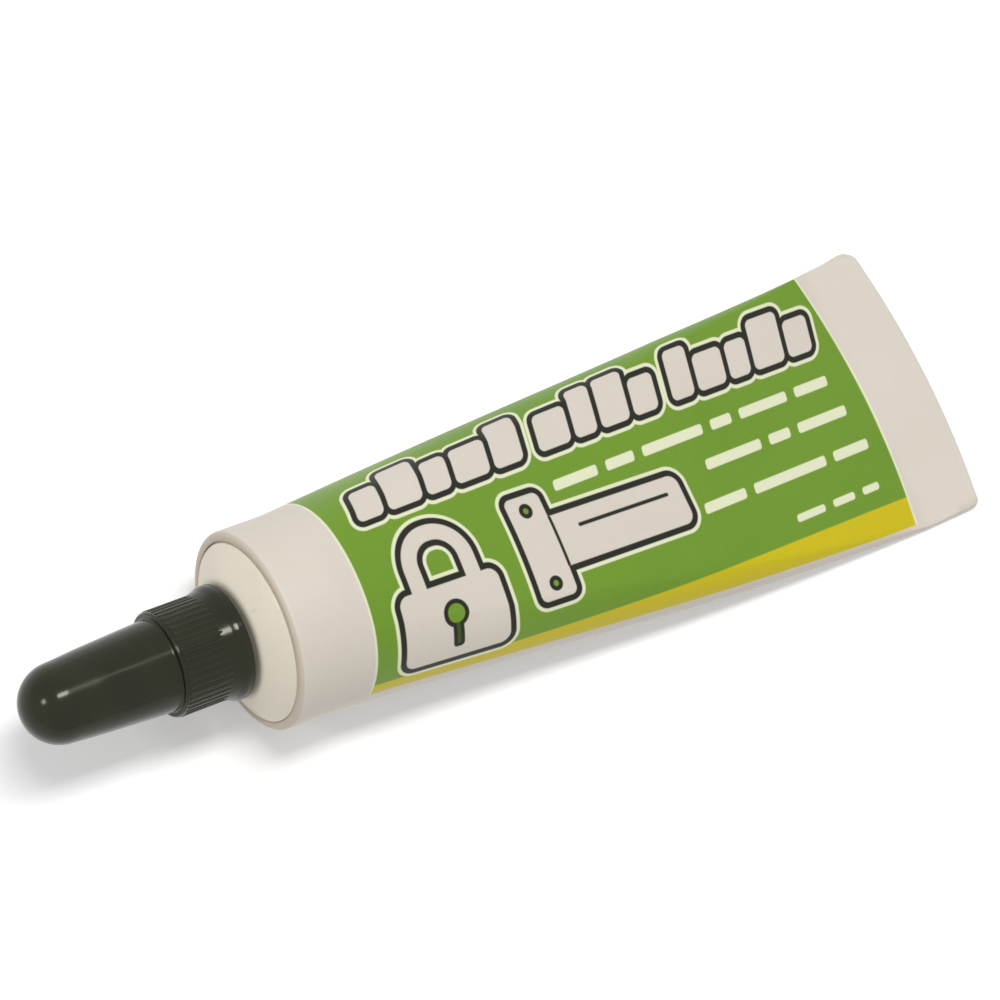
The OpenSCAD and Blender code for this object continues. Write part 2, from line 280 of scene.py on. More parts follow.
print_place = add(tree, "ShaderNodeCombineXYZ", {},
                  {0: v["along"], 1: v["down the face"], 2: v["printed side"]})
marked = add(tree, "GeometryNodeStoreNamedAttribute",
             {"data_type": "FLOAT_VECTOR", "domain": "POINT"},
             {"Geometry": grid.outputs[0], "Name": "print_mm", "Value": print_place.outputs[0]})
bent_place = add(tree, "ShaderNodeCombineXYZ", {}, {
    0: v["skewed x"], 1: v["swayed y"], 2: v["z"]})
bent_grid = add(tree, "GeometryNodeSetPosition", {},
                {"Geometry": marked.outputs[0], "Position": bent_place.outputs[0]})
closed = add(tree, "GeometryNodeMergeByDistance", {},
             {"Geometry": bent_grid.outputs[0], "Distance": 0.0005})
real = add(tree, "GeometryNodeRealizeInstances", {}, {0: closed.outputs[0]})
covered = add(tree, "GeometryNodeSetMaterial", {},
              {"Geometry": real.outputs[0], "Material": given["Surface"]})
add(tree, "NodeGroupOutput", {}, {0: covered.outputs[0]})

# printed LDPE: extruded, satin and a little waxy, so the light spreads softly on
# it; the inks lie on it as flat, slightly shinier colours with soft mottling.
plastic_white = hex_colour("#DCD4C9")
plastic_shade = hex_colour("#D2C9BC")
rim_painted_shade = hex_colour("#CABEAD")                # painted shade on the rounded edge round the sleeve's mouth, where it meets the shoulder
ink_green, ink_green_deep = hex_colour("#759B2B"), hex_colour("#658C28")
ink_yellow, ink_yellow_deep = hex_colour("#D3C214"), hex_colour("#C5B410")
ink_black, ink_cream = hex_colour("#16180C"), hex_colour("#E3E6C4")
printed = bpy.data.materials.new("printed LDPE")
printed.use_nodes = True
tree = printed.node_tree
tree.nodes.clear()

# a rounded box as a distance, for every motif of the print
patch = bpy.data.node_groups.new("rounded patch", "ShaderNodeTree")
for name, kind in (("Point", "Vector"), ("Centre", "Vector"), ("Half size", "Vector"),
                   ("Radius", "Float")):
    patch.interface.new_socket(name, in_out="INPUT", socket_type="NodeSocket" + kind)
patch.interface.new_socket("Distance", in_out="OUTPUT", socket_type="NodeSocketFloat")
given = add(patch, "NodeGroupInput").outputs
away = add(patch, "ShaderNodeVectorMath", {"operation": "SUBTRACT"},
           {0: given["Point"], 1: given["Centre"]})
folded = add(patch, "ShaderNodeVectorMath", {"operation": "ABSOLUTE"}, {0: away.outputs[0]})
outside = add(patch, "ShaderNodeVectorMath", {"operation": "SUBTRACT"},
              {0: folded.outputs[0], 1: given["Half size"]})
grown = add(patch, "ShaderNodeVectorMath", {"operation": "ADD"},
            {0: outside.outputs[0], 1: given["Radius"]})
kept = add(patch, "ShaderNodeVectorMath", {"operation": "MAXIMUM"},
           {0: grown.outputs[0], 1: (0, 0, 0)})
flat = add(patch, "ShaderNodeVectorMath", {"operation": "MULTIPLY"},
           {0: kept.outputs[0], 1: (1, 1, 0)})
reach = add(patch, "ShaderNodeVectorMath", {"operation": "LENGTH"}, {0: flat.outputs[0]})
distance = add(patch, "ShaderNodeMath", {"operation": "SUBTRACT"},
               {0: reach.outputs["Value"], 1: given["Radius"]})
add(patch, "NodeGroupOutput", {}, {0: distance.outputs[0]})

# places on the print, in mm: s along the tube, down over the face
printed_at = add(tree, "ShaderNodeAttribute", {"attribute_name": "print_mm"})
split = add(tree, "ShaderNodeSeparateXYZ", {}, {0: printed_at.outputs["Vector"]}).outputs
v = {"s": split[0], "down": split[1], "printed side": split[2]}
panel_front, panel_tail, panel_top, panel_low = 6.5, 60.6, -11.95, 11.3
tail_edge_bow = 0.0088               # bow of the panel's tail edge, per mm
stripe_middle, stripe_slope = 10.15, -0.0225
rim_shade_width = 0.24                     # of the painted shade round the sleeve's mouth
band_start, band_base, band_tilt, band_lean = 9.0, -3.75, 0.038, 0.27
lines_start, line_tilt, line_lean = 40.0, 0.04, 0.2
for name, operation, *terms in (
    # the panel, bounded by four edges; its tail edge is bowed
    ("down squared", "MULTIPLY", "down", "down"),
    ("bowed s", "MULTIPLY_ADD", "down squared", tail_edge_bow, "s"),
    ("from rim", "SUBTRACT", "s", rim_shade_width),
    ("over tail edge", "SUBTRACT", "bowed s", panel_tail),
    ("over front edge", "SUBTRACT", panel_front, "s"),
    ("over top edge", "SUBTRACT", panel_top, "down"),
    ("over low edge", "SUBTRACT", "down", panel_low),
    ("over ends", "MAXIMUM", "over tail edge", "over front edge"),
    ("over sides", "MAXIMUM", "over top edge", "over low edge"),
    ("over panel", "MAXIMUM", "over ends", "over sides"),
    ("stripe line", "MULTIPLY_ADD", "s", stripe_slope, stripe_middle),
    ("over stripe", "SUBTRACT", "down", "stripe line"),
    # the block band leans and climbs
    ("from band start", "SUBTRACT", "s", band_start),
    ("band y", "MULTIPLY_ADD", "from band start", band_tilt, "down"),
    ("over base", "SUBTRACT", "band y", band_base),
    ("band x", "MULTIPLY_ADD", "over base", band_lean, "s"),
    # the fine lines climb too
    ("from lines start", "SUBTRACT", "s", lines_start),
    ("line y", "MULTIPLY_ADD", "from lines start", line_tilt, "down"),
    ("line x", "MULTIPLY_ADD", "line y", line_lean, "s"),
):
    v[name] = add(tree, "ShaderNodeMath", {"operation": operation},
                  {i: v.get(term, term) for i, term in enumerate(terms)}).outputs[0]
points = {
    "plain": add(tree, "ShaderNodeCombineXYZ", {}, {0: v["s"], 1: v["down"]}).outputs[0],
    "band": add(tree, "ShaderNodeCombineXYZ", {}, {0: v["band x"], 1: v["band y"]}).outputs[0],
    "line": add(tree, "ShaderNodeCombineXYZ", {}, {0: v["line x"], 1: v["line y"]}).outputs[0],
}

# motifs: (points, centre s, centre down, half length, half height, corner radius)
outlined, fine_bars, holes = [], [], []
low, tall = 3.15, 4.3
block_gap, block_round, bar_gap, bar_round = 0.5, 0.55, 0.95, 0.25
for start, blocks in (
    (9.2, ((2.5, low), (3.3, tall), (2.4, low), (3.4, low), (2.9, tall))),
    (27.4, ((3.3, low), (2.3, tall), (3.0, tall), (2.6, low))),
    (41.7, ((2.4, tall), (3.1, low), (2.3, low), (3.4, tall), (2.7, low))),
):
    for width, height in blocks:
        outlined.append(("band", start + width / 2, band_base - height / 2,
                         width / 2, height / 2, block_round))
        start += width + block_gap
for start, middle, height, bars in (
    (26.6, -2.05, 0.44, (4.6, 3.0, 6.6, 2.3, 5.4, 3.8)),
    (42.0, 0.85, 0.44, (6.2, 2.4, 5.6)),
    (40.6, 4.15, 0.44, (4.6, 8.2, 4.0)),
    (49.6, 7.75, 0.32, (3.2, 2.5, 1.9)),
):
    for width in bars:
        fine_bars.append(("line", start + width / 2, middle, width / 2, height, bar_round))
        start += width + bar_gap
# a padlock
outlined += [("plain", 14.0, 6.1, 4.7, 3.2, 0.9)]
shackle = ("plain", 14.0, 2.2, 3.3, 4.1, 3.2), ("plain", 14.0, 2.9, 1.9, 3.5, 1.8)
holes += [("plain", 14.0, 5.4, 1.15, 1.15, 1.15), ("plain", 14.0, 6.8, 0.5, 1.5, 0.35)]
# a door bolt: its plate with two screws, and the bolt with a groove
outlined += [("plain", 23.5, 2.7, 1.7, 4.3, 0.6), ("plain", 31.5, 2.7, 6.9, 2.1, 0.9)]
holes += [("plain", 23.5, middle, 0.62, 0.62, 0.62) for middle in (-0.35, 5.75)]
drawn_lines = [("plain", 25.3, 2.7, 0.14, 2.1, 0.1), ("plain", 32.3, 2.0, 4.7, 0.16, 0.14)]

union = {}
for kind, shapes in (("outlined", outlined), ("bars", fine_bars), ("holes", holes),
                     ("drawn", drawn_lines), ("shackle", shackle[:1]),
                     ("shackle gap", shackle[1:])):
    for space, centre_s, centre_down, half_s, half_down, radius in shapes:
        shape = add(tree, "ShaderNodeGroup", {"node_tree": patch}, {
            "Point": points[space], "Centre": (centre_s, centre_down, 0),
            "Half size": (half_s, half_down, 0), "Radius": radius}).outputs[0]
        if kind in union:
            shape = add(tree, "ShaderNodeMath", {"operation": "MINIMUM"},
                        {0: union[kind], 1: shape}).outputs[0]
        union[kind] = shape
v.update(union)
outline_width, halo_width, hole_outline = 0.52, 0.82, 0.38
frame_line = 0.2                     # pale line inside the panel's two ends
edge = 0.05                          # mm over which an ink edge fades
for name, operation, *terms in (
    ("gap side", "MULTIPLY", "shackle gap", -1),
    ("shackle ring", "MAXIMUM", "shackle", "gap side"),
    ("motifs", "MINIMUM", "outlined", "shackle ring"),
    ("beside holes", "MULTIPLY", "holes", -1),
    ("white shape", "MAXIMUM", "motifs", "beside holes"),
    ("hole in", "ADD", "holes", hole_outline),
):
    v[name] = add(tree, "ShaderNodeMath", {"operation": operation},
                  {i: v.get(term, term) for i, term in enumerate(terms)}).outputs[0]
masks = {}
for name, distance, limit in (
    ("panel", "over panel", 0), ("panel ink", "over ends", -frame_line),
    ("green", "over stripe", 0),
    ("halo", "motifs", halo_width), ("outline", "motifs", outline_width),
    ("white", "white shape", 0), ("hole", "hole in", 0), ("bars", "bars", 0),
    ("drawn", "drawn", 0), ("rim", "from rim", 0),
):
    masks[name] = add(tree, "ShaderNodeMapRange", {}, {
        "Value": v[distance], "From Min": limit - edge, "From Max": limit + edge,
        "To Min": 1.0, "To Max": 0.0}).outputs[0]
upper = add(tree, "ShaderNodeMath", {"operation": "GREATER_THAN"},
            {0: v["printed side"], 1: 0.0}).outputs[0]
panel = add(tree, "ShaderNodeMath", {"operation": "MULTIPLY"},
            {0: masks["panel"], 1: upper}).outputs[0]

# uneven ink and plastic: clouds of about 12 mm and mottling of about 0.3 mm
where = add(tree, "ShaderNodeTexCoord").outputs["Object"]
clouds = add(tree, "ShaderNodeTexNoise", {}, {
    "Vector": where, "Scale": 1 / 0.012, "Detail": 2.0, "Roughness": 0.5}).outputs[0]
mottle = add(tree, "ShaderNodeTexNoise", {}, {
    "Vector": where, "Scale": 1 / 0.0004, "Detail": 2.0, "Roughness": 0.6}).outputs[0]
blotch = add(tree, "ShaderNodeMath", {"operation": "MULTIPLY_ADD"},
             {0: clouds, 1: 0.7, 2: -0.1}).outputs[0]
uneven = add(tree, "ShaderNodeMath", {"operation": "MULTIPLY_ADD"},
             {0: mottle, 1: 0.5, 2: blotch}).outputs[0]
tones = {}
for name, light, deep in (("plastic", plastic_white, plastic_shade),
                          ("green", ink_green, ink_green_deep),
                          ("yellow", ink_yellow, ink_yellow_deep)):
    tones[name] = add(tree, "ShaderNodeMix", {"data_type": "RGBA"},
                      {0: uneven, 6: light, 7: deep}).outputs[2]
colour = tones["yellow"]
for mask, over in ((masks["green"], tones["green"]), (masks["bars"], ink_cream),
                   (masks["halo"], ink_cream), (masks["outline"], ink_black),
                   (masks["white"], tones["plastic"]), (masks["hole"], tones["green"]),
                   (masks["drawn"], ink_black)):
    colour = add(tree, "ShaderNodeMix", {"data_type": "RGBA"},
                 {0: mask, 6: colour, 7: over}).outputs[2]
framed = add(tree, "ShaderNodeMix", {"data_type": "RGBA"},
             {0: masks["panel ink"], 6: ink_cream, 7: colour}).outputs[2]
colour = add(tree, "ShaderNodeMix", {"data_type": "RGBA"},
             {0: panel, 6: tones["plastic"], 7: framed}).outputs[2]
# painted shade: the rim mask darkens a band round the sleeve's mouth, where it meets the shoulder
colour = add(tree, "ShaderNodeMix", {"data_type": "RGBA"},
             {0: masks["rim"], 6: colour, 7: rim_painted_shade}).outputs[2]
rough = add(tree, "ShaderNodeMapRange", {}, {
    "Value": uneven, "From Min": 0.0, "From Max": 1.0, "To Min": 0.40, "To Max": 0.52}).outputs[0]
inked = add(tree, "ShaderNodeMath", {"operation": "MULTIPLY_ADD"},
            {0: panel, 1: -0.06, 2: rough}).outputs[0]
# the extruded skin: a soft orange peel of about 0.6 mm, a few micrometres deep
peel = add(tree, "ShaderNodeTexNoise", {}, {
    "Vector": where, "Scale": 1 / 0.0006, "Detail": 3.0, "Roughness": 0.55}).outputs[0]
bump = add(tree, "ShaderNodeBump", {}, {"Strength": 0.25, "Distance": 0.00002, "Height": peel})
skin = add(tree, "ShaderNodeBsdfPrincipled", {}, {
    "Base Color": colour, "Roughness": inked, "Normal": bump.outputs[0],
    "IOR": 1.51, "Metallic": 0.0, "Specular IOR Level": 0.24})
add(tree, "ShaderNodeOutputMaterial", {}, {0: skin.outputs[0]})

shaper = cut_object.modifiers.new("flattened tube", "NODES")
shaper.node_group = bpy.data.node_groups["flattened tube"]
for name, value in sleeve_sizes.items():
    shaper[sockets[name].identifier] = value
shaper[sockets["Surface"].identifier] = printed
depsgraph = bpy.context.evaluated_depsgraph_get()
sleeve_mesh = bpy.data.meshes.new_from_object(cut_object.evaluated_get(depsgraph))
cut_object.modifiers.clear()
bpy.data.objects.remove(cut_object)
finish_mesh(sleeve_mesh, lay, 50)
sleeve = piece("printed_sleeve", sleeve_mesh, printed)
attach(sleeve, "tube")
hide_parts("tube_sleeve")


# ---------- shoulder head ----------
# One low-density polyethylene moulding: a skirt welded inside the sleeve's round
# end, a conical shoulder with a rounded edge, a threaded neck and a long nozzle.
# Its plastic is a little yellower than the sleeve's.

neck_r, nozzle_tip_r, outlet_r = 2.85, 1.15, 0.6
shoulder_rise, neck_top, nozzle_top = 1.5, 7.0, 16.7
thread_pitch, thread_start, thread_turns = 2.0, 2.5, 1.75
thread_height, thread_foot, thread_crest = 0.42, 0.9, 0.36
on_axis = lay @ Matrix.Rotation(radians(-90), 4, "Y")


def rounded(corners, closed=False):
    """A cut line of (radius, height, rounding) corners, its corners made arcs."""
    line = []
    for i, (r, h, rounding) in enumerate(corners):
        here = np.array((r, h))
        ends = (not closed) and i in (0, len(corners) - 1)
        if ends or not rounding:
            line.append((r, h))
            continue
        before = np.array(corners[i - 1][:2]) - here
        after = np.array(corners[(i + 1) % len(corners)][:2]) - here
        before, after = before / np.linalg.norm(before), after / np.linalg.norm(after)
        half = np.arccos(np.clip(before @ after, -1, 1)) / 2
        back = rounding / np.tan(half)
        middle = here + (before + after) / np.linalg.norm(before + after) * rounding / sin(half)
        first, last = here + before * back - middle, here + after * back - middle
        sweep = pi - 2 * half
        steps = max(3, int(np.ceil(sweep / radians(12))))
        turn = np.sign(first[0] * last[1] - first[1] * last[0])
        for k in range(steps + 1):
            a = turn * sweep * k / steps
            line.append((middle[0] + first[0] * cos(a) - first[1] * sin(a),
                         middle[1] + first[0] * sin(a) + first[1] * cos(a)))
    return line


def finely(line, closed, longest):
    """The same line with no stretch longer than the given length."""
    fine = []
    stretches = zip(line, line[1:] + line[:1]) if closed else zip(line, line[1:])
    for (r0, h0), (r1, h1) in stretches:
        parts = max(1, int(np.ceil(np.hypot(r1 - r0, h1 - h0) / longest)))
        fine += [(r0 + (r1 - r0) * k / parts, h0 + (h1 - h0) * k / parts) for k in range(parts)]
    return fine if closed else fine + [line[-1]]


def turned(name, line, closed, steps, ridge=None):
    """A mesh turned about the axis; ridge(radius, height, angles) adds to the radius."""
    angles = np.arange(steps) * 2 * pi / steps
    verts, rings, faces = [], [], []
    for r, h in line:
        if r < 1e-6:
            rings.append([len(verts)] * steps)
            verts.append((0, 0, h))
            continue
        radii = np.full(steps, float(r)) + (ridge(r, h, angles) if ridge else 0)
        rings.append(list(range(len(verts), len(verts) + steps)))
        verts += [(q * cos(a), q * sin(a), h) for q, a in zip(radii, angles)]
    pairs = zip(rings, rings[1:] + rings[:1]) if closed else zip(rings, rings[1:])
    for one, two in pairs:
        for k in range(steps):
            m = (k + 1) % steps
            corners = [one[k], one[m], two[m], two[k]]
            corners = [c for i, c in enumerate(corners) if c not in corners[:i]]
            faces.append(corners)
    mesh = bpy.data.meshes.new(name)
    mesh.from_pydata(verts, [], faces)
    return mesh


def helix(start, turns, height, angles):
    """How far a thread stands up at one height, all the way round."""
    rise = np.zeros_like(angles)
    for lap in range(int(turns) + 1):
        travel = angles / (2 * pi) + lap
        off = np.abs(height - start - thread_pitch * travel)
        flank = np.clip((thread_foot / 2 - off) / ((thread_foot - thread_crest) / 2), 0, 1)
        flank = flank * flank * (3 - 2 * flank)
        fade = np.clip(np.minimum(travel, turns - travel) * 8 + 0.05, 0, 1)
        rise = np.maximum(rise, flank * np.where(travel <= turns, fade, 0))
    return rise * thread_height


def neck_thread(r, h, angles):
    on_neck = abs(r - neck_r) < 0.01 and 1.8 < h < 6.6
    return helix(thread_start, thread_turns, h, angles) if on_neck else 0


# (radius, height above the rim, rounding), from the weld skirt round to its inside
head_cut = rounded([
    (6.78, -3.0, 0.1), (7.48, -3.0, 0.15), (7.48, -0.45, 0.1), (7.19, -0.14, 0.08),
    (7.19, 0.02, 0.22), (4.75, shoulder_rise, 0.8), (neck_r, shoulder_rise, 0.25),
    (neck_r, 6.7, 0.15), (2.55, neck_top, 0.12),
    (nozzle_tip_r, 14.3, 1.5), (nozzle_tip_r, 16.55, 0.12), (1.0, nozzle_top, 0.1),
    (outlet_r, nozzle_top, 0.1), (outlet_r, 12.5, 0.3), (1.9, 5.9, 0.4),
    (1.9, 0.4, 0.3), (4.75, 0.4, 0.6), (6.78, -1.1, 0.3)], closed=True)
head_mesh = turned("moulded_head", finely(head_cut, True, 0.22), True, 160, neck_thread)
finish_mesh(head_mesh, on_axis, 45)

# moulded LDPE: satin and warm white, with the fine dull grain of a blasted
# mould and a few grey traces of graphite where fingers and powder have been.
moulded = bpy.data.materials.new("moulded LDPE")
moulded.use_nodes = True
tree = moulded.node_tree
tree.nodes.clear()
where = add(tree, "ShaderNodeTexCoord").outputs["Object"]
clouds = add(tree, "ShaderNodeTexNoise", {}, {
    "Vector": where, "Scale": 1 / 0.005, "Detail": 3.0, "Roughness": 0.6}).outputs[0]
tone = add(tree, "ShaderNodeMix", {"data_type": "RGBA"}, {
    0: clouds, 6: hex_colour("#E8E0D0"), 7: hex_colour("#DED5C2")}).outputs[2]
smears = add(tree, "ShaderNodeTexNoise", {}, {
    "Vector": where, "Scale": 1 / 0.0016, "Detail": 6.0, "Roughness": 0.7}).outputs[0]
dirty = add(tree, "ShaderNodeMapRange", {}, {
    "Value": smears, "From Min": 0.64, "From Max": 0.80, "To Min": 0.0, "To Max": 0.4}).outputs[0]
colour = add(tree, "ShaderNodeMix", {"data_type": "RGBA"}, {
    0: dirty, 6: tone, 7: hex_colour("#77756F")}).outputs[2]
rough = add(tree, "ShaderNodeMapRange", {}, {
    "Value": clouds, "From Min": 0.3, "From Max": 0.7, "To Min": 0.42, "To Max": 0.55}).outputs[0]
grain = add(tree, "ShaderNodeTexNoise", {}, {
    "Vector": where, "Scale": 1 / 0.00025, "Detail": 2.0, "Roughness": 0.5}).outputs[0]
bump = add(tree, "ShaderNodeBump", {}, {"Strength": 0.2, "Distance": 0.00001, "Height": grain})
skin = add(tree, "ShaderNodeBsdfPrincipled", {}, {
    "Base Color": colour, "Roughness": rough, "Normal": bump.outputs[0],
    "IOR": 1.51, "Metallic": 0.0})
add(tree, "ShaderNodeOutputMaterial", {}, {0: skin.outputs[0]})
head = piece("moulded_shoulder", head_mesh, moulded)
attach(head, "tube")
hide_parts("shoulder_head")


# ---------- cap ----------
# One glossy black polypropylene moulding: a skirt with fine grip ribs above a
# plain flared mouth, a screw thread inside, and a tapered nose with a round end.

mouth_h, skirt_top, dome_h, dome_r = 1.95, 7.72, 16.2, 3.15
core_r, mouth_r, skirt_bore_r = 4.17, 4.6, 3.55
rib_height, rib_width, rib_count = 0.07, 0.34, 48
rib_low, rib_high = 3.3, 7.4


def cap_thread(r, h, angles):
    on_wall = abs(r - skirt_bore_r) < 0.01 and 2.6 < h < 7.0
    return -helix(thread_start + thread_pitch / 2, 1.5, h, angles) if on_wall else 0


cap_cut = (
    arc((0, dome_h), dome_r, 90, 4, 20)
    + rounded([(3.16, 16.0, 0), (3.36, 13.6, 60), (3.68, skirt_top, 0.15),
               (core_r, skirt_top, 0.2), (core_r, 3.95, 1.5), (4.38, 3.1, 0.8),
               (mouth_r, 2.6, 0.8), (mouth_r, mouth_h, 0.16), (skirt_bore_r, mouth_h, 0.12),
               (skirt_bore_r, 7.0, 0.1), (2.9, 7.35, 0.2), (1.95, 16.75, 0.0),
               (1.95, 17.7, 0.15), (0, 17.7, 0)])[1:]
)
cap_cut[0] = (0, dome_h + dome_r)
cap_base = turned("ribbed_cap", finely(cap_cut, False, 0.2), False, 192, cap_thread)
cap_object = bpy.data.objects.new("cap_base", cap_base)
bpy.context.scene.collection.objects.link(cap_object)

# the tree stands one rib on the skirt and repeats it round the cap
tree = bpy.data.node_groups.new("grip ribs", "GeometryNodeTree")
tree.interface.new_socket("Cap", in_out="INPUT", socket_type="NodeSocketGeometry")
rib_sizes = {"Ribs": rib_count, "Skirt radius": core_r, "Rib height": rib_height,
             "Rib width": rib_width, "Low end": rib_low, "High end": rib_high}
sockets = {}
for name, value in rib_sizes.items():
    kind = "NodeSocketInt" if isinstance(value, int) else "NodeSocketFloat"
    sockets[name] = tree.interface.new_socket(name, in_out="INPUT", socket_type=kind)
sockets["Surface"] = tree.interface.new_socket(
    "Surface", in_out="INPUT", socket_type="NodeSocketMaterial")
tree.interface.new_socket("Ribbed cap", in_out="OUTPUT", socket_type="NodeSocketGeometry")
given = add(tree, "NodeGroupInput").outputs
low_end = add(tree, "ShaderNodeCombineXYZ", {}, {2: given["Low end"]})
high_end = add(tree, "ShaderNodeCombineXYZ", {}, {2: given["High end"]})
spine = add(tree, "GeometryNodeCurvePrimitiveLine", {}, {
    "Start": low_end.outputs[0], "End": high_end.outputs[0]})
spine_points = add(tree, "GeometryNodeResampleCurve", {}, {
    "Curve": spine.outputs[0], "Count": 17})
v = {"share": add(tree, "GeometryNodeSplineParameter").outputs["Factor"]}
for name, operation, *terms in (
    # a rib's ends round off over about 0.3 mm
    ("both ways", "MULTIPLY_ADD", "share", 2, -1),
    ("from middle", "ABSOLUTE", "both ways"),
    ("steep", "POWER", "from middle", 14),
    ("left", "SUBTRACT", 1.0001, "steep"),
    ("fullness", "SQRT", "left"),
):
    v[name] = add(tree, "ShaderNodeMath", {"operation": operation},
                  {i: v.get(term, term) for i, term in enumerate(terms)}).outputs[0]
tapered = add(tree, "GeometryNodeSetCurveRadius", {}, {
    "Curve": spine_points.outputs[0], "Radius": v["fullness"]})
half_width = add(tree, "ShaderNodeMath", {"operation": "MULTIPLY"},
                 {0: given["Rib width"], 1: 0.5})
crest = add(tree, "ShaderNodeMath", {"operation": "ADD"},
            {0: given["Skirt radius"], 1: given["Rib height"]})
spine_radius = add(tree, "ShaderNodeMath", {"operation": "SUBTRACT"},
                   {0: crest.outputs[0], 1: half_width.outputs[0]})
section = add(tree, "GeometryNodeCurvePrimitiveCircle", {}, {
    "Resolution": 12, "Radius": half_width.outputs[0]})
rib = add(tree, "GeometryNodeCurveToMesh", {}, {
    "Curve": tapered.outputs[0], "Profile Curve": section.outputs[0], "Fill Caps": True})
ring = add(tree, "GeometryNodeMeshCircle", {}, {
    "Vertices": given["Ribs"], "Radius": spine_radius.outputs[0]})
facing = add(tree, "FunctionNodeAlignRotationToVector", {"axis": "X"}, {
    "Vector": add(tree, "GeometryNodeInputPosition").outputs[0]})
standing = add(tree, "GeometryNodeInstanceOnPoints", {}, {
    "Points": ring.outputs[0], "Instance": rib.outputs[0], "Rotation": facing.outputs[0]})
both = add(tree, "GeometryNodeJoinGeometry", {}, {0: given["Cap"]})
tree.links.new(standing.outputs[0], both.inputs[0])
real = add(tree, "GeometryNodeRealizeInstances", {}, {0: both.outputs[0]})
covered = add(tree, "GeometryNodeSetMaterial", {},
              {"Geometry": real.outputs[0], "Material": given["Surface"]})
add(tree, "NodeGroupOutput", {}, {0: covered.outputs[0]})

# moulded black polypropylene: a polished mould leaves it glossy, with faint
# waves that bend its reflections, and handling leaves duller patches.
black_pp = bpy.data.materials.new("moulded black polypropylene")
black_pp.use_nodes = True
tree = black_pp.node_tree
tree.nodes.clear()
where = add(tree, "ShaderNodeTexCoord").outputs["Object"]
clouds = add(tree, "ShaderNodeTexNoise", {}, {
    "Vector": where, "Scale": 1 / 0.003, "Detail": 4.0, "Roughness": 0.6}).outputs[0]
tone = add(tree, "ShaderNodeMix", {"data_type": "RGBA"}, {
    0: clouds, 6: hex_colour("#0F1914"), 7: hex_colour("#282915")}).outputs[2]
rough = add(tree, "ShaderNodeMapRange", {}, {
    "Value": clouds, "From Min": 0.35, "From Max": 0.75, "To Min": 0.1, "To Max": 0.24}).outputs[0]
waves = add(tree, "ShaderNodeTexNoise", {}, {
    "Vector": where, "Scale": 1 / 0.0018, "Detail": 2.0, "Roughness": 0.5}).outputs[0]
bump = add(tree, "ShaderNodeBump", {}, {"Strength": 0.2, "Distance": 0.00004, "Height": waves})
skin = add(tree, "ShaderNodeBsdfPrincipled", {}, {
    "Base Color": tone, "Roughness": rough, "Normal": bump.outputs[0],
    "IOR": 1.49, "Metallic": 0.0, "Specular IOR Level": 0.3,
    "Specular Tint": hex_colour("#FCF8E6")})
add(tree, "ShaderNodeOutputMaterial", {}, {0: skin.outputs[0]})

shaper = cap_object.modifiers.new("grip ribs", "NODES")
shaper.node_group = bpy.data.node_groups["grip ribs"]
for name, value in rib_sizes.items():
    shaper[sockets[name].identifier] = value
shaper[sockets["Surface"].identifier] = black_pp
depsgraph = bpy.context.evaluated_depsgraph_get()
cap_mesh = bpy.data.meshes.new_from_object(cap_object.evaluated_get(depsgraph))
cap_object.modifiers.clear()
bpy.data.objects.remove(cap_object)
finish_mesh(cap_mesh, on_axis, 40)
cap = piece("ribbed_cap", cap_mesh, black_pp)
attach(cap, "cap")
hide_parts("cap")


# ---------- sealing disc ----------
# A disc stamped from thin foamed polyethylene and pressed into the end of the
# cap, where the nozzle's tip dents it and so stays shut.

disc_low, disc_high, disc_r = 16.75, 17.65, 1.9
disc_cut = rounded([
    (0, disc_high, 0), (disc_r, disc_high - 0.03, 0.12), (disc_r, disc_low + 0.02, 0.16),
    (1.45, disc_low, 0.3), (1.2, disc_low + 0.1, 0.25), (0, disc_low + 0.08, 0)])
disc_mesh = turned("foam_disc", finely(disc_cut, False, 0.15), False, 96)
finish_mesh(disc_mesh, on_axis, 45)

# foamed polyethylene: dull grey-white, full of tiny cells that show as pits,
# with patches of graphite dust on it.
foam = bpy.data.materials.new("foamed polyethylene")
foam.use_nodes = True
tree = foam.node_tree
tree.nodes.clear()
where = add(tree, "ShaderNodeTexCoord").outputs["Object"]
cells = add(tree, "ShaderNodeTexVoronoi", {}, {"Vector": where, "Scale": 1 / 0.00018}).outputs[0]
tone = add(tree, "ShaderNodeMix", {"data_type": "RGBA"}, {
    0: cells, 6: hex_colour("#B4B3AC"), 7: hex_colour("#C9C8C1")}).outputs[2]
clouds = add(tree, "ShaderNodeTexNoise", {}, {
    "Vector": where, "Scale": 1 / 0.0012, "Detail": 4.0, "Roughness": 0.6}).outputs[0]
dusty = add(tree, "ShaderNodeMapRange", {}, {
    "Value": clouds, "From Min": 0.5, "From Max": 0.75, "To Min": 0.0, "To Max": 0.6}).outputs[0]
colour = add(tree, "ShaderNodeMix", {"data_type": "RGBA"}, {
    0: dusty, 6: tone, 7: hex_colour("#4B4C4E")}).outputs[2]
bump = add(tree, "ShaderNodeBump", {}, {"Strength": 0.5, "Distance": 0.00004, "Height": cells})
skin = add(tree, "ShaderNodeBsdfPrincipled", {}, {
    "Base Color": colour, "Roughness": 0.85, "Normal": bump.outputs[0],
    "IOR": 1.45, "Metallic": 0.0})
add(tree, "ShaderNodeOutputMaterial", {}, {0: skin.outputs[0]})
disc = piece("foam_disc", disc_mesh, foam)
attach(disc, "disc")
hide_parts("sealing_disc")


# ---------- graphite powder ----------
# Dry flake graphite, poured in loose; the tube's walls hide it.  Its CAD solid
# has the right shape and stays, with a powder finish.

graphite = bpy.data.materials.new("flake graphite powder")
graphite.use_nodes = True
tree = graphite.node_tree
tree.nodes.clear()
where = add(tree, "ShaderNodeTexCoord").outputs["Object"]
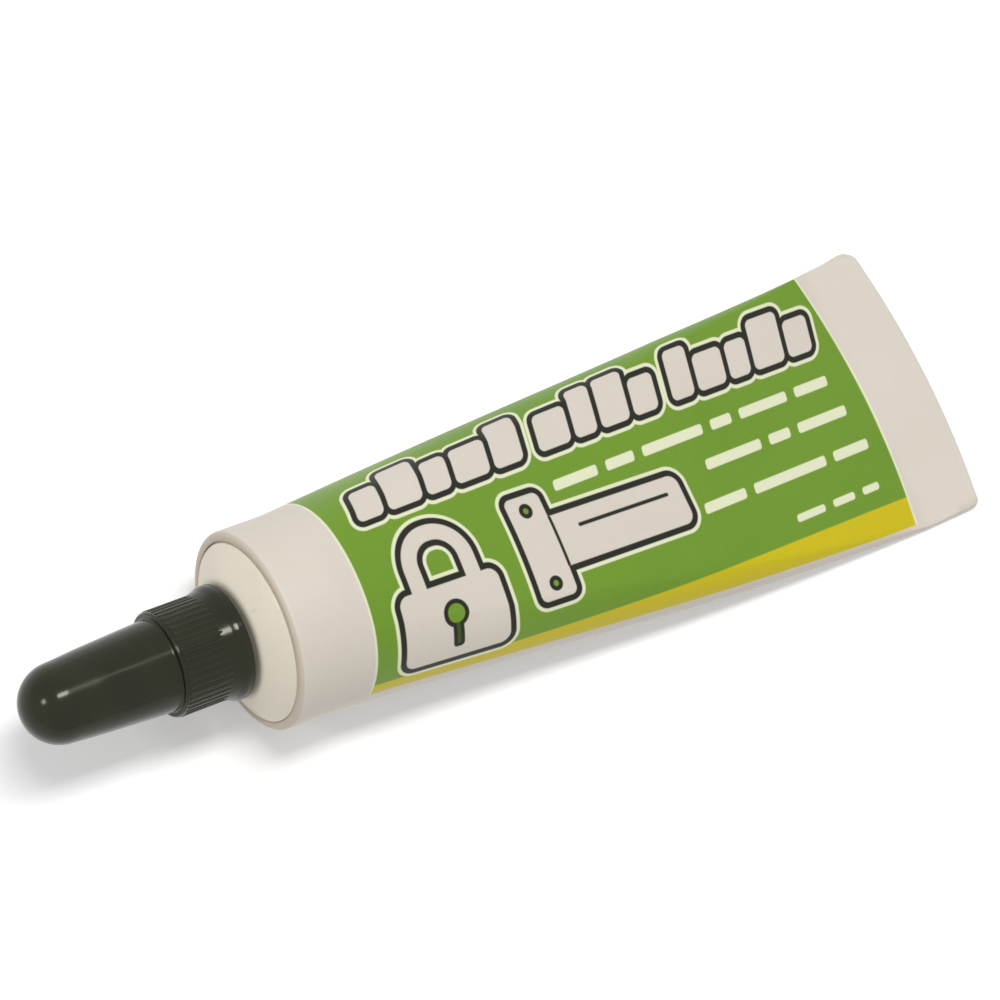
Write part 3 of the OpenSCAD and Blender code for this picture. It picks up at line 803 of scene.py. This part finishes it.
# flakes of about 0.1 mm are drawn at 0.3 mm, so that they show
flakes = add(tree, "ShaderNodeTexVoronoi", {}, {"Vector": where, "Scale": 1 / 0.0003})
tone = add(tree, "ShaderNodeMix", {"data_type": "RGBA"}, {
    0: flakes.outputs[0], 6: hex_colour("#2B2C2F"), 7: hex_colour("#4A4B50")}).outputs[2]
rough = add(tree, "ShaderNodeMapRange", {}, {
    "Value": flakes.outputs[0], "From Min": 0.0, "From Max": 1.0,
    "To Min": 0.35, "To Max": 0.75}).outputs[0]
bump = add(tree, "ShaderNodeBump", {}, {
    "Strength": 0.8, "Distance": 0.00008, "Height": flakes.outputs[0]})
skin = add(tree, "ShaderNodeBsdfPrincipled", {}, {
    "Base Color": tone, "Roughness": rough, "Normal": bump.outputs[0], "Metallic": 0.35})
add(tree, "ShaderNodeOutputMaterial", {}, {0: skin.outputs[0]})
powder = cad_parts["graphite_powder"]
for material_slot in powder.material_slots:
    material_slot.material = graphite


# ---------- floor, light and camera ----------
# A plain white studio sheet under soft light from above, seen from the
# photograph's place.

floor_size, floor_height = 4.0, -0.00004        # m, just clear of the tube's underside
floor_mesh = bpy.data.meshes.new("studio_floor")
half = floor_size / 2
floor_mesh.from_pydata([(x, y, floor_height) for x, y in (
    (-half, -half), (half, -half), (half, half), (-half, half))], [], [(0, 1, 2, 3)])
paper = bpy.data.materials.new("white studio sheet")
paper.use_nodes = True
tree = paper.node_tree
tree.nodes.clear()
ray = add(tree, "ShaderNodeLightPath").outputs
seen = add(tree, "ShaderNodeMath", {"operation": "MAXIMUM"},
           {0: ray["Is Camera Ray"], 1: ray["Is Glossy Ray"]}).outputs[0]
seen = add(tree, "ShaderNodeMath", {"operation": "MAXIMUM"},
           {0: seen, 1: ray["Is Transmission Ray"]}).outputs[0]
sheet = add(tree, "ShaderNodeBsdfDiffuse", {}, {"Color": hex_colour("#EFEFEF")})
glow = add(tree, "ShaderNodeEmission", {}, {"Color": (1, 1, 1, 1), "Strength": 0.22})
lit = add(tree, "ShaderNodeAddShader", {}, {0: sheet.outputs[0], 1: glow.outputs[0]})
shown = add(tree, "ShaderNodeMixShader", {}, {0: seen, 1: sheet.outputs[0], 2: lit.outputs[0]})
add(tree, "ShaderNodeOutputMaterial", {}, {0: shown.outputs[0]})
floor = piece("studio_floor", floor_mesh, paper)

world = bpy.data.worlds.new("studio")
bpy.context.scene.world = world
world.use_nodes = True
tree = world.node_tree
tree.nodes.clear()
ray = add(tree, "ShaderNodeLightPath").outputs
seen = add(tree, "ShaderNodeMath", {"operation": "MAXIMUM"},
           {0: ray["Is Camera Ray"], 1: ray["Is Glossy Ray"]}).outputs[0]
seen = add(tree, "ShaderNodeMath", {"operation": "MAXIMUM"},
           {0: seen, 1: ray["Is Transmission Ray"]}).outputs[0]
strength = add(tree, "ShaderNodeMapRange", {}, {"Value": seen, "To Min": 0.45, "To Max": 1.0})
air = add(tree, "ShaderNodeBackground", {}, {
    "Color": (1, 1, 1, 1), "Strength": strength.outputs[0]})
add(tree, "ShaderNodeOutputWorld", {}, {0: air.outputs[0]})

# name, direction towards it, distance, size along and across, watts
middle = Vector((-0.01, 0, 0.008))
for name, direction, distance, along, across, power in (
    ("overhead_strip", (0.0, 0.13, 0.97), 0.5, 0.25, 0.085, 1.35),
    ("overhead_end", (0.37, 0.17, 0.91), 0.5, 0.20, 0.05, 0.06),
    ("front_fill", (-0.78, 0.18, 0.58), 0.6, 0.10, 0.10, 0.45),
):
    lamp = bpy.data.lights.new(name, "AREA")
    lamp.shape, lamp.size, lamp.size_y, lamp.energy = "RECTANGLE", along, across, power
    held = bpy.data.objects.new(name, lamp)
    bpy.context.scene.collection.objects.link(held)
    towards = Vector(direction).normalized()
    held.location = middle + towards * distance
    # the lamp's long side lies along X as nearly as it can
    side = (Vector((1, 0, 0)) - towards * towards.x).normalized()
    held.rotation_euler = Matrix((side, towards.cross(side), towards)).transposed().to_euler()

# the photograph's camera, found from the tube's outline: degrees round from the
# -Y side, up from the table and rolled, and the point that it looks at in mm
azimuth, elevation, roll = -65.776, 66.740, 42.268
camera_aim, camera_distance = Vector((2.462, 3.466, 2.059)), 300
focal_px, frame_px, sensor_mm = 3733.83, 1000, 36
lens = bpy.data.cameras.new("photo_camera")
lens.sensor_width, lens.lens = sensor_mm, sensor_mm * focal_px / frame_px
lens.clip_start, lens.clip_end = 0.01, 20
camera = bpy.data.objects.new("photo_camera", lens)
bpy.context.scene.collection.objects.link(camera)
camera_turn = (Matrix.Rotation(radians(azimuth), 4, "Z")
               @ Matrix.Rotation(radians(90 - elevation), 4, "X")
               @ Matrix.Rotation(radians(roll), 4, "Z"))
eye = camera_aim + camera_turn @ Vector((0, 0, camera_distance))
camera.matrix_world = Matrix.Translation(mm @ eye) @ camera_turn
bpy.context.scene.camera = camera
bpy.context.scene.view_settings.view_transform = "Standard"
